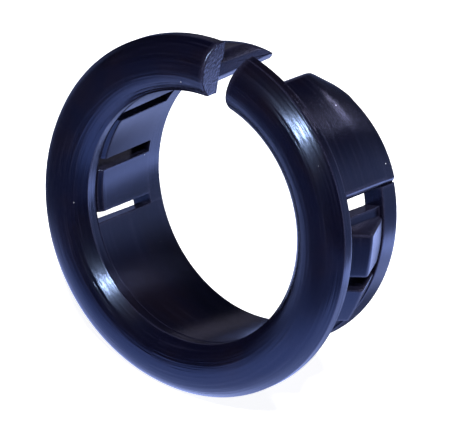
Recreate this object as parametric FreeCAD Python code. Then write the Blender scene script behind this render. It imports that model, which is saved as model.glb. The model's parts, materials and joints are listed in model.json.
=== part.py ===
import FreeCAD, Part
import math
import os

# Snap-in fence insulator: a split round bushing moulded in one shot from black nylon.
# The wire runs along +Y through the bore. The rolled flange faces -Y and seats on the
# post at Y = 0. The split is on top, at +Z. Millimetres throughout.
# Angles round the ring are measured from the split (+Z) towards +X, in degrees.

# ---- driving dimensions ---------------------------------------------------------------
FLANGE_R = 18.15            # rolled flange, outer radius
BORE_R = 12.70              # wire bore at the throat
FLANGE_CREST = 3.10         # crest of the roll, measured forward from the seat
FLANGE_LAND = 1.20          # height of the cylindrical edge round the flange
THROAT_TOP = 1.60           # the straight throat starts here, forward of the seat
ROLL_SHOULDER = 0.95        # how far in from each edge the roll turns over
ROLL_SHOULDER_RISE = 0.82   # height of that shoulder, as a share of the crest
SEAT_INNER_R = 16.25        # the flat seat starts here
SEAT_RELIEF = 0.30          # the back of the flange is dished inside the seat
FLANGE_SPLIT_HALF = 5.5     # half angle of the split in the flange

# barrel
BARREL_LEN = 11.40
RING_FRONT = 8.90           # the rear bands start here, and the slots end here
BARREL_IN_FRONT = 12.85     # inner radius just behind the flange
BARREL_IN_REAR = 13.40      # inner radius at the start of the rear chamfer
REAR_CHAMFER = 0.50
PANEL_R = 15.80             # raised side walls that centre the bushing in its hole
PANEL_BEVEL = 0.55          # outer edge of each wall beside the slot
SPLIT_BEVEL = 0.80          # outer edge of each wall at the split
END_BEVEL = 0.70            # inner edge of each wall at the split
REAR_CORNER = 1.00          # rear corner of each wall at the split, cut off at 45 degrees
LOWER_WALL_R = 15.35
RING_R = 15.55
RING_EDGE = 0.35

# where the walls, slots and fingers lie round the ring
PANEL_START = 11.0
PANEL_END = 63.0
UPPER_FINGER_START = 70.0
UPPER_FINGER_END = 91.0
LOWER_FINGER_START = 96.0
LOWER_FINGER_END = 115.0
LOWER_WALL_START = 119.0

# tapering outside of the side walls, which eases the top of the barrel into the hole
LEAD_IN_FOLD = 6.50         # the taper starts here
LEAD_IN_SLACK = 0.12        # and is this much larger here than the walls
LEAD_IN_REAR_R = 11.50      # its radius at the rear rim
LEAD_IN_SHIFT = 4.20        # its centre there has moved this far away from the split

# snap fingers
FREE_END = 0.65             # the free end of each finger, behind the seat
STRIP_R = 15.00
TIP_BEVEL = 0.40
CREST_R = 17.05
CREST_LAND = 0.30
TOOTH_FRONT = 1.20
CREST_Y = 4.70
TOOTH_BACK = 8.75
TOOTH_BACK_R = 15.45
OUTER_FLANK_INSET = 0.95    # the tooth stands in from the side next to a wall
OUTER_FLANK_TAPER = 0.85    # and that side leans in towards the crest

# edge rounding
TOOTH_ROUND = 0.20
SPLIT_ROUND = 0.20          # the D-shaped ends of the flange
SEAT_EDGE_ROUND = 0.15

ORIGIN = FreeCAD.Vector(0, 0, 0)
AXIS = FreeCAD.Vector(0, 1, 0)
SIDEWAYS = FreeCAD.Vector(1, 0, 0)
FULL_TURN = 360.0
OVER = 2.0                  # how far a cutting tool reaches past the solid


def bore_radius(y):
    """Inner radius of the drafted barrel at a distance y behind the seat."""
    draft_len = BARREL_LEN - REAR_CHAMFER
    return BARREL_IN_FRONT + (BARREL_IN_REAR - BARREL_IN_FRONT) * y / draft_len


def at(y, r):
    """A point of a section in the plane X = 0."""
    return FreeCAD.Vector(0, y, r)


def closed_face(points):
    return Part.Face(Part.makePolygon(points + [points[0]]))


def swept(face, start, end):
    """Turn a section about the ring axis from one angle to another."""
    placed = face.copy()
    placed.rotate(ORIGIN, AXIS, start)
    return placed.revolve(ORIGIN, AXIS, end - start)


def sector(section, start, end):
    return swept(closed_face([at(y, r) for y, r in section]), start, end)


def mirrored(solid):
    return solid.mirror(ORIGIN, SIDEWAYS)


def angle_of(point):
    return math.degrees(math.atan2(point.x, point.z))


def radius_of(point):
    return math.hypot(point.x, point.z)


def rounded(solid, size, wanted):
    """Round the edges whose end points satisfy a test."""
    edges = [e for e in solid.Edges if wanted([v.Point for v in e.Vertexes])]
    return solid.makeFillet(size, edges).Solids[0]


def long_edges(solid, low_r, high_r, low_angle, high_angle):
    """Edges that run along the axis, within a band of radius and a band of angle."""
    found = []
    for edge in solid.Edges:
        ends = [v.Point for v in edge.Vertexes]
        if len(ends) != 2 or abs(ends[0].y - ends[1].y) < 1.0:
            continue
        in_band = all(low_r < radius_of(p) < high_r for p in ends)
        if in_band and all(low_angle < angle_of(p) < high_angle for p in ends):
            found.append(edge)
    return found


# ---- flange ---------------------------------------------------------------------------
def on_split_roll(points):
    """True for the edges round the front and sides of the D-shaped ends."""
    at_split = max(abs(angle_of(p)) for p in points) < FLANGE_SPLIT_HALF + 0.1
    return at_split and len(points) == 2 and min(p.y for p in points) < -0.9 * FLANGE_LAND


def on_seat_edge(points):
    return all(abs(p.y) < 0.01 and radius_of(p) > FLANGE_R - 0.01 for p in points)


def flange_bead():
    """Half-round roll with a flat seat at the back and D-shaped ends at the split."""
    shoulder_y = -ROLL_SHOULDER_RISE * FLANGE_CREST
    land_top = at(-FLANGE_LAND, FLANGE_R)
    throat_top = at(-THROAT_TOP, BORE_R)
    roll = Part.BSplineCurve()
    roll.interpolate([
        land_top,
        at(shoulder_y, FLANGE_R - ROLL_SHOULDER),
        at(-FLANGE_CREST, 0.5 * (FLANGE_R + BORE_R)),
        at(shoulder_y, BORE_R + ROLL_SHOULDER),
        throat_top,
    ])
    back = Part.makePolygon([
        throat_top,
        at(-SEAT_RELIEF, BORE_R),
        at(-SEAT_RELIEF, SEAT_INNER_R),
        at(0, SEAT_INNER_R),
        at(0, FLANGE_R),
        land_top,
    ])
    face = Part.Face(Part.Wire([roll.toShape()] + back.Edges))
    bead = swept(face, FLANGE_SPLIT_HALF, FULL_TURN - FLANGE_SPLIT_HALF)
    bead = rounded(bead, SPLIT_ROUND, on_split_roll)
    return rounded(bead, SEAT_EDGE_ROUND, on_seat_edge)


# ---- barrel walls ---------------------------------------------------------------------
def round_wire(centre, radius):
    return Part.Wire([Part.Circle(centre, AXIS, radius).toShape()])


def lead_in_core():
    """Body that the outside of a side wall is trimmed to. Behind the fold it narrows and
    moves away from the split, so the wall falls away most beside the split."""
    turn = math.radians(PANEL_END)
    shift = LEAD_IN_SHIFT * FreeCAD.Vector(math.sin(turn), 0, math.cos(turn))
    fold = FreeCAD.Vector(0, LEAD_IN_FOLD, 0)
    rear = FreeCAD.Vector(0, BARREL_LEN, 0) + shift
    taper = Part.makeLoft([
        round_wire(fold, PANEL_R + LEAD_IN_SLACK),
        round_wire(rear, LEAD_IN_REAR_R),
    ], True, True)
    start = FreeCAD.Vector(0, -OVER, 0)
    ahead_of_fold = Part.makeCylinder(FLANGE_R, LEAD_IN_FOLD + OVER, start, AXIS)
    return ahead_of_fold.fuse(taper)


def rear_corner_cutter():
    """Prism that takes off the rear corner of a side wall at the split."""
    corner = [
        FreeCAD.Vector(-OVER, BARREL_LEN - REAR_CORNER - OVER, 0),
        FreeCAD.Vector(-OVER, BARREL_LEN + OVER, 0),
        FreeCAD.Vector(REAR_CORNER + OVER, BARREL_LEN + OVER, 0),
    ]
    prism = closed_face(corner).extrude(FreeCAD.Vector(0, 0, FLANGE_R))
    prism.rotate(ORIGIN, AXIS, PANEL_START)
    return prism


def rear_rim(outer_r):
    """The rear end of a section, from the inner draft round to the outer face."""
    return [
        (BARREL_LEN - REAR_CHAMFER, BARREL_IN_REAR),
        (BARREL_LEN, BARREL_IN_REAR + REAR_CHAMFER),
        (BARREL_LEN, outer_r - RING_EDGE),
        (BARREL_LEN - RING_EDGE, outer_r),
    ]


def side_wall():
    """Raised wall on the +X side of the split, from the flange to the rear rim."""
    section = [(-SEAT_RELIEF, bore_radius(-SEAT_RELIEF))]
    section += rear_rim(PANEL_R)
    section += [(-SEAT_RELIEF, PANEL_R)]
    wall = sector(section, PANEL_START, PANEL_END)
    slot_edge = long_edges(wall, PANEL_R - 0.05, FLANGE_R, PANEL_END - 1.0, 90)
    wall = wall.makeChamfer(PANEL_BEVEL, slot_edge)
    split_edge = long_edges(wall, PANEL_R - 0.05, FLANGE_R, 0, PANEL_START + 1.0)
    wall = wall.makeChamfer(SPLIT_BEVEL, split_edge)
    inner_end = long_edges(wall, BORE_R, BARREL_IN_REAR + 0.05, 0, PANEL_START + 1.0)
    wall = wall.makeChamfer(END_BEVEL, inner_end)
    wall = wall.cut(rear_corner_cutter())
    return wall.common(lead_in_core()).Solids[0]


def lower_wall():
    """Plain wall opposite the split, thickened where it carries on the rear band."""
    section = [(-SEAT_RELIEF, bore_radius(-SEAT_RELIEF))]
    section += rear_rim(RING_R)
    section += [
        (RING_FRONT, RING_R),
        (RING_FRONT, LOWER_WALL_R),
        (-SEAT_RELIEF, LOWER_WALL_R),
    ]
    return sector(section, LOWER_WALL_START, FULL_TURN - LOWER_WALL_START)


def rear_band():
    """Band behind the slots on the +X side; both snap fingers are rooted in it."""
    section = [(RING_FRONT, bore_radius(RING_FRONT))]
    section += rear_rim(RING_R)
    section += [(RING_FRONT, RING_R)]
    return sector(section, PANEL_END, LOWER_WALL_START)


# ---- snap fingers ---------------------------------------------------------------------
def finger_strip(start, end):
    """Spring strip, rooted in the rear band and free at the flange end."""
    section = [
        (FREE_END, bore_radius(FREE_END) + TIP_BEVEL),
        (FREE_END + TIP_BEVEL, bore_radius(FREE_END + TIP_BEVEL)),
        (RING_FRONT, bore_radius(RING_FRONT)),
        (RING_FRONT, STRIP_R),
        (FREE_END, STRIP_R),
    ]
    return sector(section, start, end)


def outer_flank_cutter(flank_angle, side):
    """Block that takes off the leaning flank of a tooth, on one side of its strip."""
    lean = OUTER_FLANK_TAPER / (CREST_R - STRIP_R)
    low_r = STRIP_R - OVER
    high_r = CREST_R + OVER
    low_in = OUTER_FLANK_INSET - lean * OVER
    high_in = OUTER_FLANK_INSET + OUTER_FLANK_TAPER + lean * OVER
    block = closed_face([
        FreeCAD.Vector(side * low_in, -OVER, low_r),
        FreeCAD.Vector(side * high_in, -OVER, high_r),
        FreeCAD.Vector(-side * 2 * OVER, -OVER, high_r),
        FreeCAD.Vector(-side * 2 * OVER, -OVER, low_r),
    ])
    block = block.extrude(FreeCAD.Vector(0, BARREL_LEN + 2 * OVER, 0))
    block.rotate(ORIGIN, AXIS, flank_angle)
    return block


def above_strip(points):
    """True for the edges of a tooth that stand clear of its strip and of the band."""
    stands_clear = max(radius_of(p) for p in points) > STRIP_R + 0.1
    return stands_clear and not all(abs(p.y - TOOTH_BACK) < 0.01 for p in points)


def tooth(start, end, flank_angle, side):
    """Wedge that catches the back of the panel, with its long ramp to the rear."""
    section = [
        (TOOTH_FRONT, STRIP_R),
        (CREST_Y, CREST_R),
        (CREST_Y + CREST_LAND, CREST_R),
        (TOOTH_BACK, TOOTH_BACK_R),
        (TOOTH_BACK, STRIP_R),
    ]
    wedge = sector(section, start, end).cut(outer_flank_cutter(flank_angle, side))
    return rounded(wedge.Solids[0], TOOTH_ROUND, above_strip)


# ---- the whole part -------------------------------------------------------------------
def build_nodes():
    right = {
        "side_wall": side_wall(),
        "rear_band": rear_band(),
        "finger_upper": finger_strip(UPPER_FINGER_START, UPPER_FINGER_END),
        "finger_lower": finger_strip(LOWER_FINGER_START, LOWER_FINGER_END),
        "tooth_upper": tooth(UPPER_FINGER_START, UPPER_FINGER_END, UPPER_FINGER_START, 1),
        "tooth_lower": tooth(LOWER_FINGER_START, LOWER_FINGER_END, LOWER_FINGER_END, -1),
    }
    nodes = {
        "flange_bead": flange_bead(),
        "lower_wall": lower_wall(),
    }
    for name, solid in right.items():
        nodes[name + "_right"] = solid
        nodes[name + "_left"] = mirrored(solid)
    return nodes


os.makedirs("parts", exist_ok=True)
for name, solid in build_nodes().items():
    print(name, solid.ShapeType, solid.isValid(), round(solid.Volume, 2))
    solid.exportStep("parts/" + name + ".step")
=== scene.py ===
import bmesh
import bpy
import json
import math
import numpy as np
from mathutils import Matrix, Vector

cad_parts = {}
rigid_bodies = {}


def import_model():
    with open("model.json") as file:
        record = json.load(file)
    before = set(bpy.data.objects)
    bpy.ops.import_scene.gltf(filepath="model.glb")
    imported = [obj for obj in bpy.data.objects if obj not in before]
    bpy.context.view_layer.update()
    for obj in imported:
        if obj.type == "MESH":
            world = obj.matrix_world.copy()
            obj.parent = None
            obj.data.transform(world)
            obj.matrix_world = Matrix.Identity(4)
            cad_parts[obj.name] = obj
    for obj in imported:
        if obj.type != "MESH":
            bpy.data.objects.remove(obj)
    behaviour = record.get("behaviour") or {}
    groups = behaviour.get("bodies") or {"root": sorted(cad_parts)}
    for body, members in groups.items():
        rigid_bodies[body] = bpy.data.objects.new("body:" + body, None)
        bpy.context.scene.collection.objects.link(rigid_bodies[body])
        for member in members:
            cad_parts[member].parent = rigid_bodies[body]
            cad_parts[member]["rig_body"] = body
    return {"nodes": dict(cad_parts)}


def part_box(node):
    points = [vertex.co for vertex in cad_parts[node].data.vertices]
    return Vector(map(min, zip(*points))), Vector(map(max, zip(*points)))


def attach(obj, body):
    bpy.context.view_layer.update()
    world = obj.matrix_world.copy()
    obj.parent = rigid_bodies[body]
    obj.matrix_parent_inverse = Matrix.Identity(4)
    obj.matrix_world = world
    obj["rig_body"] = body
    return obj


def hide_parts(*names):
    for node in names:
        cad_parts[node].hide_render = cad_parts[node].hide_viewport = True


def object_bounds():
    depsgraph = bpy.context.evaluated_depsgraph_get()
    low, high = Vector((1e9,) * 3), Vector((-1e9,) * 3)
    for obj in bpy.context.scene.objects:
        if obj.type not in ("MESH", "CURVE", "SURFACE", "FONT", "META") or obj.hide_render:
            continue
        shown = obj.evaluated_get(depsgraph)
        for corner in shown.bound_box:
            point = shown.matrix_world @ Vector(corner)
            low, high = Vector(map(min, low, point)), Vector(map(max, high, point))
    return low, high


# Visual model of a split, snap-in fence insulator moulded from black nylon.
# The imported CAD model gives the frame: ring axis along Y, flange facing -Y, split at +Z.
# Every piece is rebuilt as a fine swept surface with softened edges, stands for one CAD
# node and rides on that node's body. Lengths below are millimetres, angles are degrees
# round the ring from the split (+Z) towards +X.

MM = 0.001

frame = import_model()
cad_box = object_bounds()


def span(node, axis):
    """Lowest and highest coordinate of a CAD node along one axis, in millimetres."""
    low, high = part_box(node)
    return low[axis] / MM, high[axis] / MM


X, Y, Z = 0, 1, 2

# ---- sizes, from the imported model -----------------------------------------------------
FLANGE_R = span("flange_bead", X)[1]
FLANGE_CREST = -span("flange_bead", Y)[0]
BARREL_LEN = span("lower_wall", Y)[1]
WALL_FRONT = span("lower_wall", Y)[0]
RING_R = -span("lower_wall", Z)[0]
RING_FRONT = span("rear_band_right", Y)[0]
FREE_END = span("finger_upper_right", Y)[0]
TOOTH_FRONT, TOOTH_BACK = span("tooth_upper_right", Y)
CREST_R = span("tooth_upper_right", X)[1]

# ---- sizes inside those boxes ---------------------------------------------------------
BORE_R = 12.70
FLANGE_LAND = 1.20
THROAT_TOP = 1.60
ROLL_SHOULDER = 0.95
ROLL_SHOULDER_RISE = 0.82
SEAT_INNER_R = 16.25
FLANGE_SPLIT_HALF = 5.5
BARREL_IN_FRONT = 12.85
BARREL_IN_REAR = 13.40
REAR_CHAMFER = 0.50
PANEL_R = 15.80
PANEL_BEVEL = 0.55
SPLIT_BEVEL = 0.80
END_BEVEL = 0.70
REAR_CORNER = 1.00
LOWER_WALL_R = 15.35
RING_EDGE = 0.35
PANEL_START = 11.0
PANEL_END = 63.0
UPPER_FINGER = (70.0, 91.0)
LOWER_FINGER = (96.0, 115.0)
LOWER_WALL_START = 119.0
LEAD_IN_FOLD = 6.50
LEAD_IN_SLACK = 0.12
LEAD_IN_REAR_R = 11.50
LEAD_IN_SHIFT = 4.20
STRIP_R = 15.00
TIP_BEVEL = 0.40
CREST_Y = 4.70
CREST_LAND = 0.30
TOOTH_BACK_R = 15.45
OUTER_FLANK_INSET = 0.95
OUTER_FLANK_TAPER = 0.85

# ---- softened edges and mesh fineness -------------------------------------------------
EDGE = 0.10                 # round on the moulded edges
SPLIT_EDGE = 0.20           # round on the D-shaped ends of the flange
SEAT_EDGE = 0.08            # round inside the seat ring
RIM_EDGE = 0.15             # round on the flange's outer rim
TOOTH_EDGE = 0.18
BEVEL_ROUND = 0.15          # softening where a side wall's bevel meets its face
FOLD_ROUND = 0.40           # half width of the rounded fold on the side walls
BAND_FADE = 0.35            # length over which end rounds fade out ahead of the rear band
FLANK_FADE = 0.15           # height over which a tooth's flanks become rounded
SQUARE_DEPTH = 0.50         # depth under a tooth where the strip's side stays square
SKIN = 0.10                 # depth that moves in full with a side wall's surface
CORNER_REACH = 0.45         # most of a side that one corner's curve may use
ROUND_STEPS = 4
ROLL_STEPS = 16             # mesh steps between two points of the roll's outline
CELL = 0.30                 # size of a mesh cell on the long surfaces
SHARP = math.radians(35)
WEAR_AND_SHEEN_BEND = (0.04, 0.28)    # bend of an edge, in radians, from unworn to fully pale: part wear, part painted sheen on bent edges and the side walls' fold


# ---- sections -------------------------------------------------------------------------
def bore_radius(y):
    """Inner radius of the drafted barrel."""
    return BARREL_IN_FRONT + (BARREL_IN_REAR - BARREL_IN_FRONT) * y / (BARREL_LEN - REAR_CHAMFER)


def softened(corners):
    """Closed section from (y, r, round) corners, with a short curve in place of each corner."""
    loop = []
    for i, (y, r, size) in enumerate(corners):
        here = Vector((y, r))
        if size == 0:
            loop.append(here)
            continue
        to_last = Vector(corners[i - 1][:2]) - here
        to_next = Vector(corners[(i + 1) % len(corners)][:2]) - here
        start = here + to_last.normalized() * min(size, CORNER_REACH * to_last.length)
        end = here + to_next.normalized() * min(size, CORNER_REACH * to_next.length)
        for k in range(ROUND_STEPS + 1):
            t = k / ROUND_STEPS
            loop.append(start * (1 - t) ** 2 + here * 2 * t * (1 - t) + end * t ** 2)
    return loop


def divided(loop):
    """The same section with its long sides cut into cells."""
    fine = []
    for i, a in enumerate(loop):
        b = loop[(i + 1) % len(loop)]
        parts = max(1, math.ceil((b - a).length / CELL))
        fine += [a.lerp(b, k / parts) for k in range(parts)]
    return fine


def inward(loop):
    """Unit direction into the section at each of its points."""
    count = len(loop)
    area = sum(loop[i - 1].cross(loop[i]) for i in range(count))
    turn = 1 if area > 0 else -1
    found = []
    for i in range(count):
        along = loop[(i + 1) % count] - loop[i - 1]
        found.append(Vector((-along.y, along.x)).normalized() * turn)
    return found


def natural_spline(points, steps):
    """Smooth curve through points, with no bending at its two ends."""
    p = np.array(points, float)
    h = np.linalg.norm(np.diff(p, axis=0), axis=1)
    n = len(p)
    a = np.eye(n)
    b = np.zeros_like(p)
    for i in range(1, n - 1):
        a[i, i - 1:i + 2] = h[i - 1], 2 * (h[i - 1] + h[i]), h[i]
        b[i] = 6 * ((p[i + 1] - p[i]) / h[i] - (p[i] - p[i - 1]) / h[i - 1])
    m = np.linalg.solve(a, b)
    curve = []
    for i in range(n - 1):
        for k in range(steps):
            t = k / steps
            u = 1 - t
            bend = (u ** 3 - u) * m[i] + (t ** 3 - t) * m[i + 1]
            curve.append(Vector(u * p[i] + t * p[i + 1] + bend * h[i] ** 2 / 6))
    return curve + [Vector(p[-1])]


def share_between(value, low, high):
    """0 below low, 1 above high, even in between."""
    return min(1.0, max(0.0, (value - low) / (high - low)))


def ring_point(angle, y, r):
    """Place in the frame, in metres, of a point on the ring given in millimetres."""
    a = math.radians(angle)
    return Vector((r * math.sin(a), y, r * math.cos(a))) * MM


# ---- sweeping a section round the ring ------------------------------------------------
def stations(start, end, start_round, end_round, radius):
    """(angle, inset) of each ring of points. The section closes in over a quarter circle
    at a rounded end."""
    quarter = [math.pi / 2 * k / ROUND_STEPS for k in range(ROUND_STEPS + 1)]
    first = [(start, 0.0)]
    last = [(end, 0.0)]
    if start_round:
        first = [(start + math.degrees(start_round * (1 - math.cos(t)) / radius),
                  start_round * (1 - math.sin(t))) for t in quarter]
    if end_round:
        last = [(end - math.degrees(end_round * (1 - math.cos(t)) / radius),
                 end_round * (1 - math.sin(t))) for t in reversed(quarter)]
    low, high = first[-1][0], last[0][0]
    parts = max(1, math.ceil(math.radians(high - low) * radius / CELL))
    middle = [(low + (high - low) * k / parts, 0.0) for k in range(1, parts)]
    return first + middle + last


def swept(loop, rings, mask=None, shape=None):
    """Rings of points for a section turned round the ring axis. mask(y, r, at_start) says
    how far a point follows the end rounds, shape(angle, y, r) moves a point."""
    directions = inward(loop)
    middle = (rings[0][0] + rings[-1][0]) / 2
    rows = []
    for angle, inset in rings:
        row = []
        for point, direction in zip(loop, directions):
            share = mask(point.x, point.y, angle < middle) if mask and inset else 1.0
            y, r = point + direction * inset * share
            if shape:
                row.append(ring_point(*shape(angle, y, r)))
            else:
                row.append(ring_point(angle, y, r))
        rows.append(row)
    return rows


def mesh_of(rows):
    """Closed mesh through rings of points, with a face across each end."""
    bm = bmesh.new()
    rows = [[bm.verts.new(p) for p in row] for row in rows]
    count = len(rows[0])
    for a, b in zip(rows, rows[1:]):
        for i in range(count):
            j = (i + 1) % count
            bm.faces.new((a[i], a[j], b[j], b[i]))
    bm.faces.new(rows[0])
    bm.faces.new(rows[-1])
    return bm


def piece(node, bm, material, mirrored=False):
    """Make the piece that stands for a CAD node and rides on its body."""
    if mirrored:
        bmesh.ops.transform(bm, matrix=Matrix.Scale(-1, 4, (1, 0, 0)), verts=bm.verts)
    bmesh.ops.recalc_face_normals(bm, faces=bm.faces)
    for face in bm.faces:
        face.smooth = True
    for edge in bm.edges:
        edge.smooth = edge.calc_face_angle(0) < SHARP
    # pale share at each point from how sharply its edges bend: real wear, and also a painted
    # sheen on bent edges and along the side walls' fold
    wear_and_sheen = bm.verts.layers.float.new("wear_and_sheen")
    for vert in bm.verts:
        bend = max(edge.calc_face_angle_signed(0) for edge in vert.link_edges)
        vert[wear_and_sheen] = share_between(bend, *WEAR_AND_SHEEN_BEND)
    mesh = bpy.data.meshes.new(node + "_moulded")
    bm.to_mesh(mesh)
    bm.free()
    made = bpy.data.objects.new(node + "_moulded", mesh)
    bpy.context.scene.collection.objects.link(made)
    made.data.materials.append(material)
    flats = made.modifiers.new("keep flats flat", "WEIGHTED_NORMAL")
    flats.keep_sharp = True
    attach(made, frame["nodes"][node]["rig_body"])
    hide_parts(node)


# ---- the pieces -----------------------------------------------------------------------
def flange():
    """Rolled flange with its flat seat and its D-shaped ends."""
    shoulder_y = -ROLL_SHOULDER_RISE * FLANGE_CREST
    roll = natural_spline([
        (-FLANGE_LAND, FLANGE_R),
        (shoulder_y, FLANGE_R - ROLL_SHOULDER),
        (-FLANGE_CREST, (FLANGE_R + BORE_R) / 2),
        (shoulder_y, BORE_R + ROLL_SHOULDER),
        (-THROAT_TOP, BORE_R),
    ], ROLL_STEPS)
    back = softened([
        (WALL_FRONT, BORE_R, EDGE),
        (WALL_FRONT, SEAT_INNER_R, 0),
        (0, SEAT_INNER_R, SEAT_EDGE),
        (0, FLANGE_R, RIM_EDGE),
        (-FLANGE_LAND, FLANGE_R, 0),
    ])
    rings = stations(FLANGE_SPLIT_HALF, 360 - FLANGE_SPLIT_HALF, SPLIT_EDGE, SPLIT_EDGE, BORE_R)

    def mask(y, r, at_start):
        return share_between(-y, -WALL_FRONT, FLANGE_LAND)

    return mesh_of(swept(divided(roll + back[:-1]), rings, mask))


def rear_rim(outer_r):
    """Corners of the rear end: a chamfered bore edge and a small bevel outside."""
    return [
        (BARREL_LEN - REAR_CHAMFER, BARREL_IN_REAR, EDGE),
        (BARREL_LEN, BARREL_IN_REAR + REAR_CHAMFER, EDGE),
        (BARREL_LEN, outer_r - RING_EDGE, EDGE),
        (BARREL_LEN - RING_EDGE, outer_r, EDGE),
    ]


def ahead_of_band(y, r, at_start):
    """End rounds fade out where a piece carries on into the rear band."""
    return 1.0 - share_between(y, RING_FRONT - BAND_FADE, RING_FRONT)


def lead_in_radius(angle, y):
    """Outer radius left by the taper, largest far from the split."""
    share = (y - LEAD_IN_FOLD) / (BARREL_LEN - LEAD_IN_FOLD)
    shift = LEAD_IN_SHIFT * share
    core = PANEL_R + LEAD_IN_SLACK + (LEAD_IN_REAR_R - PANEL_R - LEAD_IN_SLACK) * share
    away = math.radians(PANEL_END - angle)
    return shift * math.cos(away) + math.sqrt(core ** 2 - (shift * math.sin(away)) ** 2)


def soft_least(a, b, size):
    """The smaller of two lengths, with the crossover rounded off."""
    if size == 0:
        return min(a, b)
    near = max(0.0, size - abs(a - b)) / size
    return min(a, b) - near * near * size / 4


def wall_top(angle, y, from_start, from_end):
    """Outer radius of a side wall, bevelled at both edges and tapered to the rear."""
    bevelled = PANEL_R + min(from_start - SPLIT_BEVEL, from_end - PANEL_BEVEL)
    top = soft_least(PANEL_R, bevelled, BEVEL_ROUND)
    slope = (PANEL_R - lead_in_radius(angle, BARREL_LEN)) / (BARREL_LEN - LEAD_IN_FOLD)
    return soft_least(top, lead_in_radius(angle, y), max(0.0, slope) * 2 * FOLD_ROUND)


def side_wall():
    """Raised wall beside the split, with its rear corner at the split cut off."""
    loop = softened(
        [(WALL_FRONT, bore_radius(WALL_FRONT), 0)]
        + rear_rim(PANEL_R)
        + [(WALL_FRONT, PANEL_R, 0)]
    )

    def mask(y, r, at_start):
        return 1.0 if at_start else ahead_of_band(y, r, at_start)

    def shape(angle, y, r):
        from_start = math.radians(angle - PANEL_START) * PANEL_R
        from_end = math.radians(PANEL_END - angle) * PANEL_R
        y = min(y, BARREL_LEN - max(0.0, REAR_CORNER - from_start))
        inner = bore_radius(min(y, BARREL_LEN - REAR_CHAMFER))
        half = (PANEL_R - inner) / 2
        outer_share = share_between(r, inner + half, PANEL_R - SKIN)
        inner_share = share_between(inner + half - r, 0, half - SKIN)
        top = wall_top(angle, y, from_start, from_end)
        r += outer_share * (top - PANEL_R)
        r += inner_share * max(0.0, END_BEVEL - from_start)
        return angle, y, min(r, top)

    rings = stations(PANEL_START, PANEL_END, EDGE, EDGE, PANEL_R)
    extra = [
        PANEL_START + math.degrees(b / PANEL_R) for b in (SPLIT_BEVEL, END_BEVEL, REAR_CORNER)
    ]
    extra.append(PANEL_END - math.degrees(PANEL_BEVEL / PANEL_R))
    rings = sorted(rings + [(angle, 0.0) for angle in extra])
    return mesh_of(swept(divided(loop), rings, mask, shape))


def lower_wall():
    """Plain wall opposite the split, thickened where it carries on the rear band."""
    loop = softened(
        [(WALL_FRONT, bore_radius(WALL_FRONT), 0)]
        + rear_rim(RING_R)
        + [
            (RING_FRONT, RING_R, EDGE),
            (RING_FRONT, LOWER_WALL_R, 0),
            (WALL_FRONT, LOWER_WALL_R, 0),
        ]
    )
    rings = stations(LOWER_WALL_START, 360 - LOWER_WALL_START, EDGE, EDGE, LOWER_WALL_R)
    return mesh_of(swept(divided(loop), rings, ahead_of_band))


def rear_band():
    """Band behind the slots; both snap fingers are rooted in it."""
    loop = softened(
        [(RING_FRONT, bore_radius(RING_FRONT), 0)]
        + rear_rim(RING_R)
        + [(RING_FRONT, RING_R, EDGE)]
    )
    rings = stations(PANEL_END, LOWER_WALL_START, 0, 0, RING_R)
    return mesh_of(swept(divided(loop), rings))


def finger(ends, flush_at_start):
    """Spring strip, rooted in the rear band and free at the flange end."""
    loop = softened([
        (FREE_END, bore_radius(FREE_END) + TIP_BEVEL, EDGE),
        (FREE_END + TIP_BEVEL, bore_radius(FREE_END + TIP_BEVEL), EDGE),
        (RING_FRONT, bore_radius(RING_FRONT), 0),
        (RING_FRONT, STRIP_R, 0),
        (FREE_END, STRIP_R, EDGE),
    ])

    def mask(y, r, at_start):
        near_tooth = r > STRIP_R - SQUARE_DEPTH and y > TOOTH_FRONT
        if near_tooth and at_start == flush_at_start:
            return 0.0
        return ahead_of_band(y, r, at_start)

    return mesh_of(swept(divided(loop), stations(*ends, EDGE, EDGE, STRIP_R), mask))


def tooth(ends, flush_at_start):
    """Wedge on a strip: steep catching face to the front, long ramp to the rear."""
    loop = softened([
        (TOOTH_FRONT, STRIP_R, 0),
        (CREST_Y, CREST_R, TOOTH_EDGE),
        (CREST_Y + CREST_LAND, CREST_R, TOOTH_EDGE),
        (TOOTH_BACK, TOOTH_BACK_R, TOOTH_EDGE),
        (TOOTH_BACK, STRIP_R, 0),
    ])
    start, end = ends
    lean = OUTER_FLANK_TAPER / (CREST_R - STRIP_R)

    def mask(y, r, at_start):
        return share_between(r, STRIP_R, STRIP_R + FLANK_FADE)

    def shape(angle, y, r):
        shift = math.degrees((OUTER_FLANK_INSET + lean * (r - STRIP_R)) / r)
        share = (angle - start) / (end - start)
        if flush_at_start:
            return angle - share * shift, y, r
        return angle + (1 - share) * shift, y, r

    rings = stations(start, end, TOOTH_EDGE, TOOTH_EDGE, CREST_R)
    return mesh_of(swept(divided(loop), rings, mask, shape))


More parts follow.
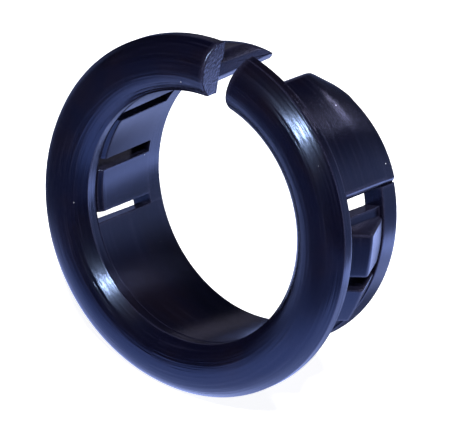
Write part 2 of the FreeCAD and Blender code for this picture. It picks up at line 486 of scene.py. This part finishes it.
# ---- materials ------------------------------------------------------------------------
class Graph:
    """Small helper that adds and joins shader nodes."""

    def __init__(self, tree):
        self.tree = tree

    def add(self, kind, **settings):
        node = self.tree.nodes.new(kind)
        for key, value in settings.items():
            setattr(node, key, value)
        return node

    def join(self, source, target):
        self.tree.links.new(source, target)

    def feed(self, socket, value):
        if isinstance(value, bpy.types.NodeSocket):
            self.join(value, socket)
        else:
            socket.default_value = value

    def math(self, operation, a, b=0.0, c=0.0):
        node = self.add("ShaderNodeMath", operation=operation)
        for socket, value in zip(node.inputs, (a, b, c)):
            self.feed(socket, value)
        return node.outputs[0]

    def ramp(self, value, low, high, out_low=0.0, out_high=1.0):
        node = self.add("ShaderNodeMapRange", interpolation_type="SMOOTHSTEP")
        for socket, item in zip(node.inputs, (value, low, high, out_low, out_high)):
            self.feed(socket, item)
        return node.outputs[0]

    def vector(self, x, y, z):
        node = self.add("ShaderNodeCombineXYZ")
        for socket, value in zip(node.inputs, (x, y, z)):
            self.feed(socket, value)
        return node.outputs[0]

    def dot(self, vector, axis):
        node = self.add("ShaderNodeVectorMath", operation="DOT_PRODUCT")
        self.join(vector, node.inputs[0])
        node.inputs[1].default_value = axis
        return node.outputs["Value"]

    def noise(self, vector, scale, detail=2.0, roughness=0.5):
        node = self.add("ShaderNodeTexNoise")
        self.feed(node.inputs["Vector"], vector)
        node.inputs["Scale"].default_value = scale
        node.inputs["Detail"].default_value = detail
        node.inputs["Roughness"].default_value = roughness
        return node.outputs["Fac"]

    def blend(self, share, a, b):
        node = self.add("ShaderNodeMix", data_type="RGBA")
        self.feed(node.inputs["Factor"], share)
        self.feed(node.inputs["A"], a)
        self.feed(node.inputs["B"], b)
        return node.outputs["Result"]


# the look of the nylon; sizes in millimetres, bump heights in micrometres
NAVY = (0.0014, 0.0014, 0.0058, 1)
BROWN = (0.0028, 0.0018, 0.0044, 1)
# pale lavender for the tool lines and for bent edges; on the edges and the side walls' fold it
# is partly wear, partly a painted sheen
PALE_WEAR_AND_SHEEN = (0.060, 0.060, 0.120, 1)
DUST = (0.70, 0.72, 0.80, 1)
GLOSS_TINT = (0.44, 0.60, 1.0, 1)
NYLON_IOR = 1.53
LINE_WIDTH = 0.28
LINES_PER_RADIAN = 1.6
LINE_PALENESS = 0.08
SPECKLE_SIZE = 0.10
PATCH_SIZE = 7.0
PATCH_ROUGHNESS = 0.05
LINE_ROUGHNESS = 0.07
MEAN_EXTRA = 0.06               # what lines and patches add to the roughness on average
# how pale bent edges are painted: partly wear, partly a painted sheen
WEAR_AND_SHEEN_PALENESS = 0.25
SINK_SIZE = 3.5
SINK_HEIGHT = 9.0
DUST_SPACING = 1.3
DUST_CORE, DUST_RIM = 0.032, 0.055      # radii of a grain as shares of the spacing
DUST_SHARE = 0.12               # share of the possible places that hold a grain
DUST_HEIGHT = 25.0
DUST_ROUGHNESS = 0.4
MICROMETRE = 1e-6


def mould_lines(g, place):
    """Fine lines left by turning the mould, long round the ring and narrow across it."""
    split = g.add("ShaderNodeSeparateXYZ")
    g.join(place, split.inputs[0])
    x, y, z = split.outputs
    radius = g.math("SQRT", g.math("ADD", g.math("MULTIPLY", x, x), g.math("MULTIPLY", z, z)))
    across = 1 / (LINE_WIDTH * MM)
    where = g.vector(
        g.math("MULTIPLY", g.math("ARCTAN2", x, z), LINES_PER_RADIAN),
        g.math("MULTIPLY", radius, across),
        g.math("MULTIPLY", y, across),
    )
    return g.noise(where, 1.0, 3.0, 0.6)


def dust_grains(g, place):
    """1 on a few scattered grains and 0 between them."""
    cells = g.add("ShaderNodeTexVoronoi")
    g.join(place, cells.inputs["Vector"])
    cells.inputs["Scale"].default_value = 1 / (DUST_SPACING * MM)
    pick = g.add("ShaderNodeSeparateColor")
    g.join(cells.outputs["Color"], pick.inputs[0])
    small = g.ramp(cells.outputs["Distance"], DUST_CORE, DUST_RIM, 1.0, 0.0)
    return g.math("MULTIPLY", small, g.math("GREATER_THAN", pick.outputs[0], 1 - DUST_SHARE))


def nylon_colour(g, lines, speckle, patches, dust):
    """Navy black, browner in patches, paler on bent edges as wear and as a painted sheen, with
    grains of dust.
    """
    colour = g.blend(g.ramp(patches, 0.42, 0.68), NAVY, BROWN)
    pale_lines = g.math("MULTIPLY", g.ramp(lines, 0.50, 0.85), LINE_PALENESS)
    colour = g.blend(pale_lines, colour, PALE_WEAR_AND_SHEEN)
    # painted sheen and wear: bent edges and the side walls' fold are painted paler
    edge = g.add("ShaderNodeAttribute", attribute_name="wear_and_sheen").outputs["Fac"]
    worn_and_sheen = g.math("MULTIPLY", edge, g.ramp(speckle, 0.35, 0.65, 0.2, 1.0))
    colour = g.blend(g.math("MULTIPLY", worn_and_sheen, WEAR_AND_SHEEN_PALENESS), colour, PALE_WEAR_AND_SHEEN)
    return g.blend(dust, colour, DUST)


def nylon(name, roughness, tool_lines, grain):
    """Black moulded nylon. tool_lines and grain are bump heights in micrometres."""
    material = bpy.data.materials.new(name)
    material.use_nodes = True
    g = Graph(material.node_tree)
    shader = material.node_tree.nodes["Principled BSDF"]
    shader.inputs["IOR"].default_value = NYLON_IOR
    shader.inputs["Specular Tint"].default_value = GLOSS_TINT

    place = g.add("ShaderNodeTexCoord").outputs["Object"]
    lines = mould_lines(g, place)
    speckle = g.noise(place, 1 / (SPECKLE_SIZE * MM), 3.0, 0.6)
    sink = g.noise(place, 1 / (SINK_SIZE * MM), 1.0)
    patches = g.noise(place, 1 / (PATCH_SIZE * MM), 3.0, 0.6)
    dust = dust_grains(g, place)
    g.join(nylon_colour(g, lines, speckle, patches, dust), shader.inputs["Base Color"])

    rough = g.math("MULTIPLY_ADD", lines, LINE_ROUGHNESS, roughness - MEAN_EXTRA)
    rough = g.math("MULTIPLY_ADD", patches, PATCH_ROUGHNESS, rough)
    rough = g.math("MULTIPLY_ADD", dust, DUST_ROUGHNESS, rough)
    g.join(rough, shader.inputs["Roughness"])

    height = g.math("MULTIPLY", lines, tool_lines)
    height = g.math("MULTIPLY_ADD", speckle, grain, height)
    height = g.math("MULTIPLY_ADD", sink, SINK_HEIGHT, height)
    height = g.math("MULTIPLY_ADD", dust, DUST_HEIGHT, height)
    bump = g.add("ShaderNodeBump")
    bump.inputs["Strength"].default_value = 1.0
    bump.inputs["Distance"].default_value = MICROMETRE
    g.join(height, bump.inputs["Height"])
    g.join(bump.outputs[0], shader.inputs["Normal"])
    return material


flange_nylon = nylon("flange_nylon", roughness=0.21, tool_lines=55.0, grain=2.0)
barrel_nylon = nylon("barrel_nylon", roughness=0.22, tool_lines=20.0, grain=5.0)
finger_nylon = nylon("finger_nylon", roughness=0.25, tool_lines=10.0, grain=5.0)

piece("flange_bead", flange(), flange_nylon)
piece("lower_wall", lower_wall(), barrel_nylon)
for hand, is_left in (("_right", False), ("_left", True)):
    piece("side_wall" + hand, side_wall(), barrel_nylon, is_left)
    piece("rear_band" + hand, rear_band(), barrel_nylon, is_left)
    piece("finger_upper" + hand, finger(UPPER_FINGER, False), finger_nylon, is_left)
    piece("finger_lower" + hand, finger(LOWER_FINGER, True), finger_nylon, is_left)
    piece("tooth_upper" + hand, tooth(UPPER_FINGER, False), finger_nylon, is_left)
    piece("tooth_lower" + hand, tooth(LOWER_FINGER, True), finger_nylon, is_left)

# ---- camera; from here on lengths are metres, apart from the sensor's -----------------
RIGHT = Vector((0.7756, 0.5966, 0.2061)).normalized()
UP = Vector((-0.4112, 0.2301, 0.8818)).normalized()
BACK = RIGHT.cross(UP)
RADIUS_SHARE = 0.4063           # flange radius as a share of the picture's width
AIM_AHEAD = 0.06                # where the camera aims, off the ring's centre and in
AIM_RIGHT = 0.1866              # flange radii: ahead of the seat, and to the right and
AIM_UP = 0.0247                 # upward in the picture
DISTANCE = 40 * FLANGE_R * MM
SENSOR_WIDTH = 36


def place_camera():
    """Tilted camera ahead of the flange, above it and to the right, far off for a flat view."""
    data = bpy.data.cameras.new("camera")
    data.sensor_width = SENSOR_WIDTH
    data.lens = RADIUS_SHARE * SENSOR_WIDTH * DISTANCE / (FLANGE_R * MM)
    made = bpy.data.objects.new("camera", data)
    bpy.context.scene.collection.objects.link(made)
    aim = (Vector((0, -AIM_AHEAD, 0)) + RIGHT * AIM_RIGHT + UP * AIM_UP) * FLANGE_R * MM
    facing = Matrix((RIGHT, UP, BACK)).transposed().to_4x4()
    facing.translation = aim + BACK * DISTANCE
    made.matrix_world = facing
    bpy.context.scene.camera = made


place_camera()

# ---- floor ----------------------------------------------------------------------------
FLOOR_HALF = 3.0
FLOOR_Z = cad_box[0].z
WHITE = (1.0, 1.0, 1.0, 1)
FLOOR_WHITE = (0.85, 0.85, 0.85, 1)
FLOOR_GLOW = 0.92                       # light the floor gives to the camera and the room

# the floor as the part mirrors it: a blue-white sheet that darkens round the part
SHEET_DARK = (0.04, 0.05, 0.12, 1)
SHEET_COLOUR = (0.42, 0.52, 1.0, 1)
SHEET_LIGHT = 2.2
SHADOW_CENTRE = (0.008, 0.026, FLOOR_Z)
SHADOW_START, SHADOW_END = 0.008, 0.020
SHADOW_LEFT = 0.05                      # share of the sheet's light left in the shadow
SHEET_FADES = [                         # way across the floor, start, end, change of light
    ((-0.50, -0.86, 0.0), 0.008, 0.040, 0.014),
    ((0.60, -0.80, 0.0), 0.018, 0.045, 0.12),
    ((-0.96, 0.29, 0.0), 0.016, 0.034, 0.08),
    ((0.62, 0.78, 0.0), 0.052, 0.070, 2.2),
    ((0.55, 0.83, 0.0), 0.080, 0.096, 0.12),
]


def sheet_light(g, place):
    """Strength of the mirrored sheet at a place on the floor."""
    off = g.add("ShaderNodeVectorMath", operation="DISTANCE")
    g.join(place, off.inputs[0])
    off.inputs[1].default_value = SHADOW_CENTRE
    lit = g.ramp(off.outputs["Value"], SHADOW_START, SHADOW_END,
                 SHADOW_LEFT * SHEET_LIGHT, SHEET_LIGHT)
    for way, start, end, change in SHEET_FADES:
        lit = g.math("MULTIPLY", lit, g.ramp(g.dot(place, way), start, end, 1.0, change))
    return lit


def floor_material():
    """Plain white to the camera, the sheet to mirroring surfaces."""
    material = bpy.data.materials.new("floor_white")
    material.use_nodes = True
    g = Graph(material.node_tree)
    shader = material.node_tree.nodes["Principled BSDF"]
    shader.inputs["Roughness"].default_value = 1.0
    shader.inputs["Specular IOR Level"].default_value = 0.0
    mirrored = g.add("ShaderNodeLightPath").outputs["Is Glossy Ray"]
    place = g.add("ShaderNodeNewGeometry").outputs["Position"]
    extra = g.math("SUBTRACT", sheet_light(g, place), FLOOR_GLOW)
    strength = g.math("MULTIPLY_ADD", mirrored, extra, FLOOR_GLOW)
    g.join(g.blend(mirrored, FLOOR_WHITE, SHEET_DARK), shader.inputs["Base Color"])
    g.join(g.blend(mirrored, WHITE, SHEET_COLOUR), shader.inputs["Emission Color"])
    g.join(strength, shader.inputs["Emission Strength"])
    return material


def floor():
    """Wide flat floor under the part."""
    bm = bmesh.new()
    corners = [(-1, -1), (1, -1), (1, 1), (-1, 1)]
    bm.faces.new([bm.verts.new((a * FLOOR_HALF, b * FLOOR_HALF, FLOOR_Z)) for a, b in corners])
    mesh = bpy.data.meshes.new("floor")
    bm.to_mesh(mesh)
    bm.free()
    mesh.materials.append(floor_material())
    made = bpy.data.objects.new("floor", mesh)
    bpy.context.scene.collection.objects.link(made)


floor()

# ---- light ----------------------------------------------------------------------------
ROOM_COLOUR = (0.50, 0.58, 1.0, 1)
ROOM_LEAST = 0.02
ROOM_BRIGHT_SIDE = RIGHT * 0.85 - BACK * 0.53
LAMP_DISTANCE = 0.5
RIM_DISTANCE = 0.060
FOLD_MIDDLE = ring_point(33.1, LEAD_IN_FOLD, PANEL_R)
DAYLIGHT = WHITE[:3]
LAVENDER = (0.80, 0.74, 1.0)


def studio_world():
    """White to the camera. The part itself sees a dim blue room, brighter low at the right."""
    world = bpy.data.worlds.new("studio")
    bpy.context.scene.world = world
    world.use_nodes = True
    g = Graph(world.node_tree)
    way = g.add("ShaderNodeTexCoord").outputs["Generated"]
    low = g.ramp(g.dot(way, UP), 0.15, 0.52, 1.0, 0.04)
    side = g.ramp(g.dot(way, ROOM_BRIGHT_SIDE), 0.50, 0.95, 0.0, 0.8)
    level = g.math("MULTIPLY_ADD", side, low, ROOM_LEAST)
    surround = g.blend(level, (0.0, 0.0, 0.0, 1), ROOM_COLOUR)
    seen = g.add("ShaderNodeLightPath").outputs["Is Camera Ray"]
    background = world.node_tree.nodes["Background"]
    g.join(g.blend(seen, surround, WHITE), background.inputs["Color"])


def lamp(name, first, last, width, power, colour, distance=LAMP_DISTANCE, target=Vector()):
    """Soft light shining at a point of the part, stretched from one direction to another."""
    data = bpy.data.lights.new(name, "AREA")
    data.shape = "ELLIPSE"
    data.size = width + (last - first).length * distance
    data.size_y = width
    data.energy = power
    data.color = colour
    made = bpy.data.objects.new(name, data)
    bpy.context.scene.collection.objects.link(made)
    way = (first + last).normalized()
    along = last - first if last != first else RIGHT
    across = way.cross(along).normalized()
    place = Matrix((across.cross(way), across, way)).transposed().to_4x4()
    place.translation = target + way * distance
    made.matrix_world = place


def lamps():
    """Two lamps in front for the highlights on the roll, two behind for the side wall."""
    key = RIGHT * -0.065 + UP * 0.305 + BACK * 0.950
    second = RIGHT * 0.304 + UP * 0.506 + BACK * 0.806
    back = RIGHT * 0.04 + UP * 0.60 - BACK * 0.79
    rim_first = RIGHT * 0.52 + UP * 0.66 - BACK * 0.53
    rim_last = RIGHT * 0.79 + UP * 0.53 - BACK * 0.31
    lamp("key", key, key, 0.05, 2.4, DAYLIGHT)
    lamp("second", second, second, 0.06, 2.7, DAYLIGHT)
    lamp("back", back, back, 0.12, 0.010, LAVENDER)
    lamp("rim", rim_first, rim_last, 0.003, 0.0026, LAVENDER, RIM_DISTANCE, FOLD_MIDDLE)


studio_world()
lamps()

bpy.context.scene.view_settings.view_transform = "Standard"
